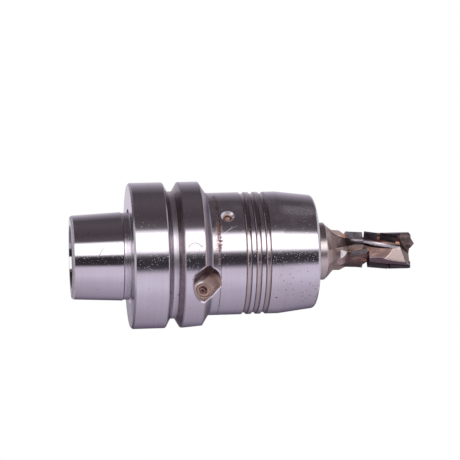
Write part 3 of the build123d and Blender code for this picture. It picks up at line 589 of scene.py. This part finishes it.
# Colours of the cutter's steel, with painted shade in a crease and painted highlights.
TAN = (0.46, 0.35, 0.345)
DARK_TAN = (0.33, 0.235, 0.22)
COLLAR = (0.54, 0.475, 0.475)
CREASE_SHADE = (0.13, 0.07, 0.058)
HEAT_TINT = (0.155, 0.088, 0.072)
DARK_HEAT_TINT = (0.06, 0.034, 0.03)
FLUTE_GLINT = (0.96, 0.89, 1.0)
LOBE = (0.205, 0.155, 0.14)
LAND = (0.12, 0.085, 0.10)
PLATE = (0.085, 0.06, 0.055)
FACET = (0.98, 0.79, 0.75)
CORNER_HIGHLIGHT = (1.0, 0.95, 0.97)
COPPER = (0.50, 0.26, 0.17)
DARK_COPPER = (0.24, 0.11, 0.075)

# Ground facets behind the cutter's end, at the two wings that the photo shows.
FACET_R = 4.03
FACET_LEAN = math.radians(9.7)
FACET_TURNS = (270, 390)

# Brazing seams beside the front and the rear tips: turn of the cutting edge at a height,
# degrees that it turns for each millimetre, that height, and the seam's start and end.
BRAZED_ROWS = (
    (207.5, 1.95, CUTTER_END - 20.8, 126.2, 148.6),
    (166.0, -1.35, CUTTER_END - 27.9, 118.8, 129.4),
)
WING_PITCH = 120.0
SEAM_BEHIND_EDGE = 14.5


def lay_flutes(finish, coat, hollow, swirl):
    """Painted shade in a crease at the cone, heat tint in the flutes and a painted highlight line
    along one of them.
    """
    # Painted shade in a crease at the cone, on one side only.
    crease = finish.past_line(-0.7, 115.9, lean=-0.26).size().below(0.5, soft=0.6)
    crease = crease * finish.z.between(113.5, 122.5, soft=2.0) * finish.y.below(-3.0, soft=1.0)
    heat = finish.blend(HEAT_TINT, DARK_HEAT_TINT, swirl.between(0.45, 2.0, soft=0.25))
    # Painted highlight: a bright line along one flute, on one side only.
    glint = finish.past_line(-4.03, 125.9, lean=0.214).size().below(0.65, soft=0.7)
    glint = glint * finish.z.between(122.0, 143.5, soft=2.5) * hollow
    glint = glint * finish.y.below(0.0, soft=1.0)
    coat.lay(CREASE_SHADE, crease, strength=0.75)
    coat.lay(heat, hollow, strength=0.85)
    coat.lay(FLUTE_GLINT, glint * (swirl * 0.7 + 0.5).capped())
    return glint


def lay_facets(finish, coat, fluted):
    """Bright ground facets: two near the end, and a painted highlight on a corner at the foot of
    the flutes.
    """
    facets = 0
    for turn in FACET_TURNS:
        facet_way = polar(math.cos(FACET_LEAN), turn, math.sin(FACET_LEAN))
        from_facet = finish.beyond(polar(FACET_R, turn, CUTTER_END), facet_way).size()
        facets = facets + from_facet.below(0.03, soft=0.02)
    # Painted highlight on a corner at the foot of the flutes, on one side only.
    corner = finish.z.step(116.1, soft=0.4)
    corner = corner * finish.past_line(-0.26, 116.1, lean=0.256).step(0.0, soft=0.4)
    corner = corner * finish.past_line(0.7, 119.86, lean=-0.817).below(0.0, soft=0.4)
    corner = corner * finish.y.below(-5.0, soft=1.0)
    coat.lay(FACET, (facets * fluted).capped(), strength=0.9)
    coat.lay(CORNER_HIGHLIGHT, corner, strength=0.85)
    return corner


def cutter_steel(name):
    """The cutter's steel: clean at the collar, tanned and heat-tinted among the brazed tips."""
    finish = Finish(name, Metallic=1.0)
    clouds = finish.noise(0.45, detail=5, shift=1.0)
    swirl = finish.noise(0.8, detail=4, stretch=(1, 1, 0.35), shift=6.0)
    collar = finish.z.below(COLLAR_END, soft=1.0)
    neck = (1 - collar) * finish.z.below(121.5, soft=2.0)
    fluted = finish.z.step(118.5, soft=3.0)
    hollow = finish.radius.below(7.0, soft=0.5) * fluted
    rough = 0.15 + clouds * 0.06 + hollow * 0.06 + neck * 0.2 + collar * 0.12
    coat = Coat(finish, finish.blend(TAN, DARK_TAN, clouds), rough)
    coat.lay(COLLAR, collar, strength=0.9)
    glint = lay_flutes(finish, coat, hollow, swirl)
    lobe = finish.radius.step(6.9) * finish.z.between(112.5, 121.0, soft=1.5)
    coat.lay(LOBE, lobe * (clouds * 0.4 + 0.6))
    coat.lay(LAND, finish.radius.step(6.5) * finish.z.step(121.0, soft=1.0), strength=0.9)
    plate = finish.radius.step(6.0) * finish.z.between(119.4, 126.4, soft=0.6)
    coat.lay(PLATE, plate, strength=0.9)
    corner = lay_facets(finish, coat, fluted)

    copper = finish.blend(COPPER, DARK_COPPER, clouds)
    for edge_turn, turn_per_mm, height, low, high in BRAZED_ROWS:
        edge = (finish.z - height) * turn_per_mm + edge_turn
        behind = (finish.turn - edge + SEAM_BEHIND_EDGE).math("FLOORED_MODULO", WING_PITCH)
        seam = behind.between(0.4, 17.5, soft=1.2) * finish.radius.step(4.9, soft=0.2)
        seam = seam * finish.z.between(low, high, soft=0.6)
        coat.lay(copper, seam * (swirl * 0.5 + 0.6).capped())
    finish.feed("Base Color", coat.colour)
    finish.feed("Metallic", 1 - (glint + corner).capped() * 0.6)
    finish.feed("Roughness", coat.rough)
    finish.bump(finish.rings(5.0) * 0.4)
    return finish


def cutting_tip(name, light, dark, rough):
    """Brazed tip: dark and hard, with faint grinding lines across it."""
    finish = Finish(name, Metallic=0.75)
    clouds = finish.noise(0.3, detail=2, shift=4.0)
    lines = finish.noise(1.6, detail=1, stretch=(1, 1, 0.15))
    pale = clouds.step(0.5, soft=0.5) * 0.8 + lines * 0.2
    finish.feed("Base Color", finish.blend(dark, light, pale))
    finish.feed("Roughness", rough + clouds * 0.12)
    finish.bump(lines * 0.4)
    return finish


def black_rubber(name):
    """Seal and ring: soft black, slightly clouded."""
    finish = Finish(name)
    clouds = finish.noise(1.2, detail=4)
    finish.feed("Base Color", finish.blend((0.012, 0.012, 0.013), (0.03, 0.028, 0.027), clouds))
    finish.feed("Roughness", 0.5 + clouds * 0.15)
    finish.bump(clouds * 0.5)
    return finish


def dress(names, finish):
    """Gives CAD nodes a finish."""
    for name in names:
        for slot in cad_nodes[name].material_slots:
            slot.material = finish.material


dress(["base_body", "front_casing"], ground_steel("holder_ground_steel"))
sleeve_steel = plain_metal("sleeve_steel", (0.60, 0.56, 0.59), (0.42, 0.38, 0.40), 0.18)
dress(["expansion_sleeve"], sleeve_steel)
dress(["clamping_screw"], clamping_screw_steel("screw_browned_steel"))
piston_steel = plain_metal("piston_steel", (0.56, 0.55, 0.54), (0.40, 0.39, 0.38), 0.2)
dress(["pressure_piston"], piston_steel)
plug_steel = plain_metal("plug_steel", (0.78, 0.68, 0.66), (0.50, 0.36, 0.30), 0.34)
dress(["bleed_plug"], plug_steel)
dress(["bleed_ball"], rusted_ball("ball_rusted_steel"))
screw_black = plain_metal("stop_screw_blackened", (0.16, 0.15, 0.15), (0.08, 0.075, 0.075), 0.32)
dress(["stop_screw"], screw_black)
dress(["piston_seal", "stop_ring"], black_rubber("black_rubber"))
dress(["tool_body"], cutter_steel("cutter_steel"))
dark_tip = cutting_tip("dark_cutting_tip", (0.06, 0.048, 0.055), (0.018, 0.015, 0.018), 0.2)
dress([f"{row}_tip_{n}" for row in ("middle", "front") for n in (1, 2, 3)], dark_tip)
rear_tip = cutting_tip("rear_cutting_tip", (0.28, 0.25, 0.275), (0.10, 0.09, 0.10), 0.2)
dress([f"rear_tip_{n}" for n in (1, 2, 3)], rear_tip)
plunge_tip = cutting_tip("plunge_cutting_tip", (0.30, 0.215, 0.19), (0.02, 0.014, 0.016), 0.2)
dress(["plunge_tip"], plunge_tip)


# The studio, in metres: a ring of soft walls, dark and bright, that the metal mirrors.
WALL_RADIUS = 1.25
WALL_HEIGHT = 1.3
WALL_DROP = 2.4
CEILING_GAP = 0.002
CEILING_COLOUR = (0.95, 0.92, 0.97, 1)
CEILING_GLOW = 0.85

# The walls' colours round the ring: degrees from the camera's side towards the photo's top.
WALL_STRETCHES = (
    (-180, (0.46, 0.42, 0.49)),
    (-166, (0.10, 0.085, 0.115)),
    (-150, (0.185, 0.155, 0.215)),
    (-128, (0.42, 0.375, 0.465)),
    (-96, (0.575, 0.525, 0.615)),
    (-72, (0.70, 0.64, 0.75)),
    (-48, (0.93, 0.87, 0.99)),
    (-29, (0.90, 0.83, 0.95)),
    (-21, (0.055, 0.046, 0.058)),
    (-3, (0.04, 0.034, 0.041)),
    (1.5, (0.22, 0.20, 0.22)),
    (7, (2.3, 2.26, 2.3)),
    (33, (2.4, 2.35, 2.4)),
    (40.5, (0.15, 0.13, 0.14)),
    (60, (0.10, 0.082, 0.09)),
    (90, (0.14, 0.118, 0.128)),
    (114, (0.115, 0.10, 0.11)),
    (130, (0.29, 0.265, 0.30)),
    (150, (0.58, 0.535, 0.61)),
    (172, (0.76, 0.71, 0.79)),
)

# The floor, in metres, and where it is clear, in millimetres.
FLOOR_RADIUS = 4.0
FLOOR_COLOUR = (0.84, 0.84, 0.84)
FLOOR_CLOUD = (0.88, 0.88, 0.88)
FLOOR_LIFT = 0.2
MIRRORED_FLOOR_R = 24.0
SHANK_OPENING_R = 16.5


def show_shader(finish, shader):
    """Puts a shader in the place of the finish's own."""
    finish.tree.links.new(shader.socket, finish.tree.nodes["Material Output"].inputs["Surface"])


def soft_light(piece, name, finish):
    """Names a glowing studio piece that the camera and the shadows pass through."""
    piece.name = name
    piece.data.materials.append(finish.material)
    piece.visible_camera = False
    piece.visible_shadow = False


def studio_walls():
    """The ring of glowing walls, coloured by their stretches."""
    bpy.ops.object.select_all(action="DESELECT")
    bpy.ops.mesh.primitive_cylinder_add(
        vertices=128,
        radius=WALL_RADIUS,
        depth=WALL_HEIGHT + WALL_DROP,
        end_fill_type="NOTHING",
        location=(0, 0, (WALL_HEIGHT - WALL_DROP) / 2),
    )
    walls = bpy.context.object
    bpy.ops.object.transform_apply(location=True)
    finish = Finish("soft_studio_walls")
    share = (finish.x * -1).math("ARCTAN2", finish.y * -1) / (2 * math.pi) + 0.5
    ramp = [((turn + 180) / 360, colour) for turn, colour in WALL_STRETCHES]
    colour = finish.node("ValToRGB", {"stops": ramp}, {0: share})
    show_shader(finish, finish.node("Emission", inputs={"Color": colour, "Strength": 1.0}))
    soft_light(walls, "studio_walls", finish)


def studio_ceiling():
    """The glowing ceiling that closes the ring at the cutter's end."""
    bpy.ops.object.select_all(action="DESELECT")
    bpy.ops.mesh.primitive_circle_add(
        vertices=128,
        radius=WALL_RADIUS,
        fill_type="NGON",
        location=(0, 0, WALL_HEIGHT + CEILING_GAP),
    )
    ceiling = bpy.context.object
    bpy.ops.object.transform_apply(location=True)
    finish = Finish("soft_studio_ceiling")
    glow = {"Color": CEILING_COLOUR, "Strength": CEILING_GLOW}
    show_shader(finish, finish.node("Emission", inputs=glow))
    soft_light(ceiling, "studio_ceiling", finish)


def pale_floor():
    """The floor at the shank end. It is clear from below, where the photo's camera is."""
    bpy.ops.object.select_all(action="DESELECT")
    bpy.ops.mesh.primitive_circle_add(vertices=96, radius=FLOOR_RADIUS, fill_type="NGON")
    floor = bpy.context.object
    floor.name = "floor"
    finish = Finish("pale_floor", Roughness=0.9, Emission_Strength=FLOOR_LIFT)
    finish.feed("Base Color", finish.blend(FLOOR_COLOUR, FLOOR_CLOUD, finish.noise(0.004)))
    rays = finish.node("LightPath", output=None)
    seen, mirrored, passed = (
        Level(finish, rays.outputs[kind])
        for kind in ("Is Camera Ray", "Is Glossy Ray", "Is Transmission Ray")
    )
    lifted = (seen + mirrored + passed).capped()
    finish.feed("Emission Color", finish.blend((0, 0, 0), (1, 1, 1), lifted))
    below = finish.node("NewGeometry", output="Backfacing")
    far_off = finish.radius.step(MIRRORED_FLOOR_R, soft=8.0)
    clear = (below * seen).math("MAXIMUM", mirrored * far_off)
    clear = clear.math("MAXIMUM", finish.radius.below(SHANK_OPENING_R, soft=0.2))
    solid = Level(finish, finish.shader.outputs[0])
    gone = finish.node("BsdfTransparent")
    show_shader(finish, finish.node("MixShader", inputs={0: clear, 1: solid, 2: gone}))
    floor.data.materials.append(finish.material)


def white_world():
    """Even white light from all round."""
    world = bpy.data.worlds.new("white_studio")
    bpy.context.scene.world = world
    world.use_nodes = True
    tree = world.node_tree
    paper = tree.nodes["Background"]
    paper.inputs["Color"].default_value = (1, 1, 1, 1)
    paper.inputs["Strength"].default_value = 1.0


# Where the photo was taken from: heights and distances in metres, picture measures in pixels.
LOOK_HEIGHT = 69.02 * MM
CAMERA_DISTANCE = 0.85
CAMERA_TILT = math.radians(7.3)
PICTURE_WIDTH = 460
FOCAL_LENGTH = 1959
AIM_ABOVE_AXIS = 23.46
AXIS_SLOPE = 0.0259
SENSOR_WIDTH = 36


def photo_camera():
    """The photo's camera, looking slightly upwards, with the spindle axis across the picture."""
    roll, aim = math.atan(AXIS_SLOPE), math.atan(AIM_ABOVE_AXIS / FOCAL_LENGTH)
    ahead = Vector((0, math.cos(CAMERA_TILT), math.sin(CAMERA_TILT)))
    across = Vector((0, -math.sin(CAMERA_TILT), math.cos(CAMERA_TILT)))
    above = Vector((-1, 0, 0))
    right = across * math.cos(roll) - above * math.sin(roll)
    up = across * math.sin(roll) + above * math.cos(roll)
    place = Vector((0, 0, LOOK_HEIGHT)) - ahead * CAMERA_DISTANCE
    look = ahead * math.cos(aim) + up * math.sin(aim)
    head = up * math.cos(aim) - ahead * math.sin(aim)
    lens = bpy.data.cameras.new("photo_camera")
    lens.sensor_width = SENSOR_WIDTH
    lens.lens = FOCAL_LENGTH / PICTURE_WIDTH * SENSOR_WIDTH
    camera = bpy.data.objects.new("photo_camera", lens)
    bpy.context.scene.collection.objects.link(camera)
    columns = Matrix((right, head, -look)).transposed().to_4x4()
    camera.matrix_world = Matrix.Translation(place) @ columns
    bpy.context.scene.camera = camera


studio_walls()
studio_ceiling()
pale_floor()
white_world()
photo_camera()
bpy.context.scene.view_settings.view_transform = "Standard"
